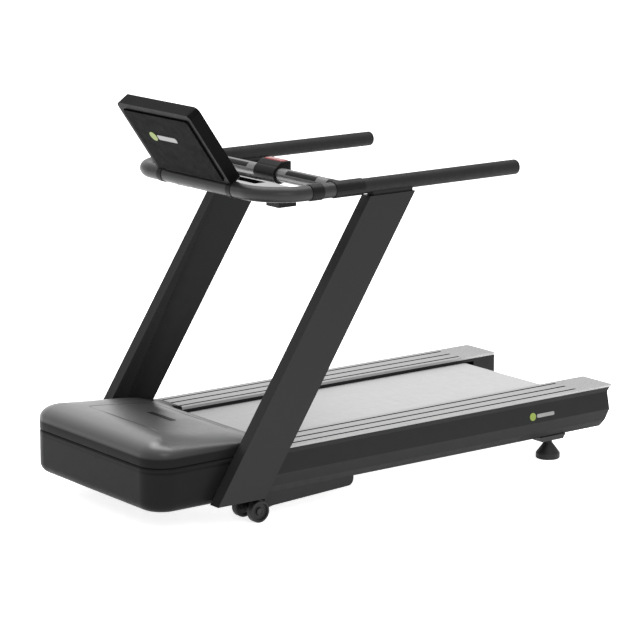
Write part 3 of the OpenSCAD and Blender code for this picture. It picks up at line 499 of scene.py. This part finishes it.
# Rows of the display and the keys, in mm down the console's face.
WINDOW_ROW, LAMP_ROW, KEY_ROWS, LOW_KEY_ROW = -78, -150, (-196, -234), -282
MAIN_KEY_ROW = sum(KEY_ROWS) / 2 + 1
SIDE_WINDOW_X = 148
# How far the plates stand up from the display, and the easing of the finest ones, in metres.
WINDOW_UP, LIGHT_UP, KEY_UP, MAIN_KEY_UP, MARK_UP = 0.0006, 0.0009, 0.0012, 0.0014, 0.0015
WINDOW_EDGE, FINE_EDGE = 0.0002, 0.0001
ON_CONSOLE = Matrix.Translation((0, CONSOLE_Y, CONSOLE_Z)) @ Matrix.Rotation(CONSOLE_TILT, 4, "X")


def rounded(x, z, w, h, r, steps=5):
    """Outline of a rounded rectangle centred at (x, z)."""
    out = []
    for k, (sx, sz) in enumerate(((1, 1), (-1, 1), (-1, -1), (1, -1))):
        for i in range(steps + 1):
            a = math.pi / 2 * (k + i / steps)
            out.append((x + sx * (w / 2 - r) + r * math.cos(a), z + sz * (h / 2 - r) + r * math.sin(a)))
    return out


def plates(name, shapes, thick, look, edge=0.0004):
    """Thin plates with eased edges on the console's screen; shapes are rounded() arguments in mm."""
    mesh = bpy.data.meshes.new(name)
    verts, faces = [], []
    for x, z, w, h, r in shapes:
        rings = ((0.0, 0.0), (0.0, thick - edge), (edge, thick))
        first = len(verts)
        for inset, up in rings:
            ring = rounded(x * MM, z * MM, w * MM - 2 * inset, h * MM - 2 * inset, r * MM - inset)
            verts += [ON_CONSOLE @ Vector((px, FACE_Y + up, pz)) for px, pz in ring]
        n = (len(verts) - first) // len(rings)
        for k in range(len(rings) - 1):
            for i in range(n):
                j = (i + 1) % n
                a, b = first + k * n, first + (k + 1) * n
                faces.append((a + j, a + i, b + i, b + j))
        faces.append([first + (len(rings) - 1) * n + i for i in reversed(range(n))])
        faces.append([first + i for i in range(n)])
    mesh.from_pydata([tuple(v) for v in verts], [], faces)
    obj = bpy.data.objects.new(name, mesh)
    bpy.context.scene.collection.objects.link(obj)
    obj.data.materials.append(MATS[look])
    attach(obj, ROOT)


def console_face():
    """Windows, a hill profile in lights, level bars and keys, all without lettering."""
    windows = [(x, WINDOW_ROW, w, 92, 6) for x, w in ((0, 196), (-SIDE_WINDOW_X, 84), (SIDE_WINDOW_X, 84))]
    windows.append((0, LAMP_ROW, 396, 26, 6))
    plates("display_windows", windows, WINDOW_UP, "window", edge=WINDOW_EDGE)
    hills = [3, 3, 4, 6, 8, 7, 5, 4, 5, 7, 9, 8, 6, 4, 3, 3, 2, 2]
    dots = [(-85 + 10 * i, WINDOW_ROW - 38 + 8 * k, 5, 5, 2.4)
            for i, tall in enumerate(hills) for k in range(tall)]
    plates("display_dots", dots, LIGHT_UP, "led", edge=FINE_EDGE)
    bars = [(side * SIDE_WINDOW_X + (i - 2.5) * 11, WINDOW_ROW - 34 + tall * 3.2, 7, tall * 6.4, 1.5)
            for side in (-1, 1) for i, tall in enumerate(random.sample(range(3, 11), 6))]
    plates("display_bars", bars, LIGHT_UP, "led_green", edge=FINE_EDGE)
    lamps = [(-180 + 24 * i, LAMP_ROW, 10, 3, 1.2) for i in range(16)]
    plates("display_lamps", lamps, LIGHT_UP, "led", edge=FINE_EDGE)
    keys = [(side * (96 + 44 * i), z, 34, 26, 6) for side in (-1, 1) for i in range(3) for z in KEY_ROWS]
    keys += [(side * (52 + 40 * i), LOW_KEY_ROW, 32, 22, 6) for side in (-1, 1) for i in range(4)]
    marks = [(x, z, 12, 2.4, 1.1) for x, z, *_ in keys]
    plates("console_keys", keys, KEY_UP, "key")
    plates("console_key_marks", marks, MARK_UP, "mark", edge=FINE_EDGE)
    for name, x, look in (("console_start_key", -27, "key_green"), ("console_stop_key", 27, "key_red")):
        plates(name, [(x, MAIN_KEY_ROW, 44, 44, 20)], MAIN_KEY_UP, look)


console_face()

# ---------------------------------------------------------------- stage, light, camera

CAMERA_AT = Vector((8.344, -6.393, 2.853))
CAMERA_AZIMUTH = math.radians(52.684)
CAMERA_DOWN = math.radians(12.248)
CAMERA_ROLL = math.radians(0.05)
CAMERA_LENS, CAMERA_SENSOR = 163.1, 36.0
CAMERA_REACH = 200.0
FLOOR_HALF, FLOOR_STEPS = 30.0, 8
WORLD_LIGHT = 1.07
# The floor is a light table, which washes out the shadow.
FLOOR_GLOW = 0.75
# name, place, aimed at, width and length, watts
LAMPS = (("overhead", (-0.5, 0.5, 5.0), (0, 0, 0), (5.0, 4.0), 230),
         ("camera_side", (5.5, -2.5, 3.5), (0, 0, 0.5), (3.0, 3.0), 60))


def build_floor():
    """A large pale floor that glows faintly."""
    mesh = bpy.data.meshes.new("floor")
    steps = FLOOR_STEPS
    verts = [(FLOOR_HALF * (2 * i / steps - 1), FLOOR_HALF * (2 * j / steps - 1), 0.0)
             for j in range(steps + 1) for i in range(steps + 1)]
    faces = [(j * (steps + 1) + i, j * (steps + 1) + i + 1,
              (j + 1) * (steps + 1) + i + 1, (j + 1) * (steps + 1) + i)
             for j in range(steps) for i in range(steps)]
    mesh.from_pydata(verts, [], faces)
    obj = bpy.data.objects.new("floor", mesh)
    bpy.context.scene.collection.objects.link(obj)
    paint = surface("floor_paint", (0.95, 0.95, 0.95), 0.75, vary=0.004, vary_scale=2)
    shader = paint.node_tree.nodes["Principled BSDF"]
    shader.inputs["Emission Color"].default_value = (1, 1, 1, 1)
    shader.inputs["Emission Strength"].default_value = FLOOR_GLOW
    obj.data.materials.append(paint)


def area_light(name, at, toward, size, power):
    """A rectangular lamp aimed at a point."""
    data = bpy.data.lights.new(name, "AREA")
    data.shape = "RECTANGLE"
    data.size, data.size_y = size
    data.energy = power
    obj = bpy.data.objects.new(name, data)
    obj.location = at
    obj.rotation_euler = (Vector(toward) - Vector(at)).to_track_quat("-Z", "Y").to_euler()
    bpy.context.scene.collection.objects.link(obj)


def build_lights():
    """An even white studio with two lamps."""
    world = bpy.data.worlds.new("studio")
    bpy.context.scene.world = world
    world.use_nodes = True
    background = world.node_tree.nodes["Background"]
    background.inputs["Color"].default_value = (1, 1, 1, 1)
    background.inputs["Strength"].default_value = WORLD_LIGHT
    for lamp in LAMPS:
        area_light(*lamp)


def build_camera():
    """The camera fitted to the photo."""
    data = bpy.data.cameras.new("camera")
    data.lens = CAMERA_LENS
    data.sensor_width = CAMERA_SENSOR
    data.clip_end = CAMERA_REACH
    obj = bpy.data.objects.new("camera", data)
    bpy.context.scene.collection.objects.link(obj)
    az, down = CAMERA_AZIMUTH, CAMERA_DOWN
    back = Vector((math.sin(az) * math.cos(down), -math.cos(az) * math.cos(down), math.sin(down)))
    right = Vector((math.cos(az), math.sin(az), 0.0))
    up = back.cross(right)
    turned = right * math.cos(CAMERA_ROLL) + up * math.sin(CAMERA_ROLL)
    up = back.cross(turned)
    turn = Matrix((turned, up, back)).transposed().to_4x4()
    obj.matrix_world = Matrix.Translation(CAMERA_AT) @ turn
    bpy.context.scene.camera = obj


build_floor()
build_lights()
build_camera()
bpy.context.scene.view_settings.view_transform = "Standard"
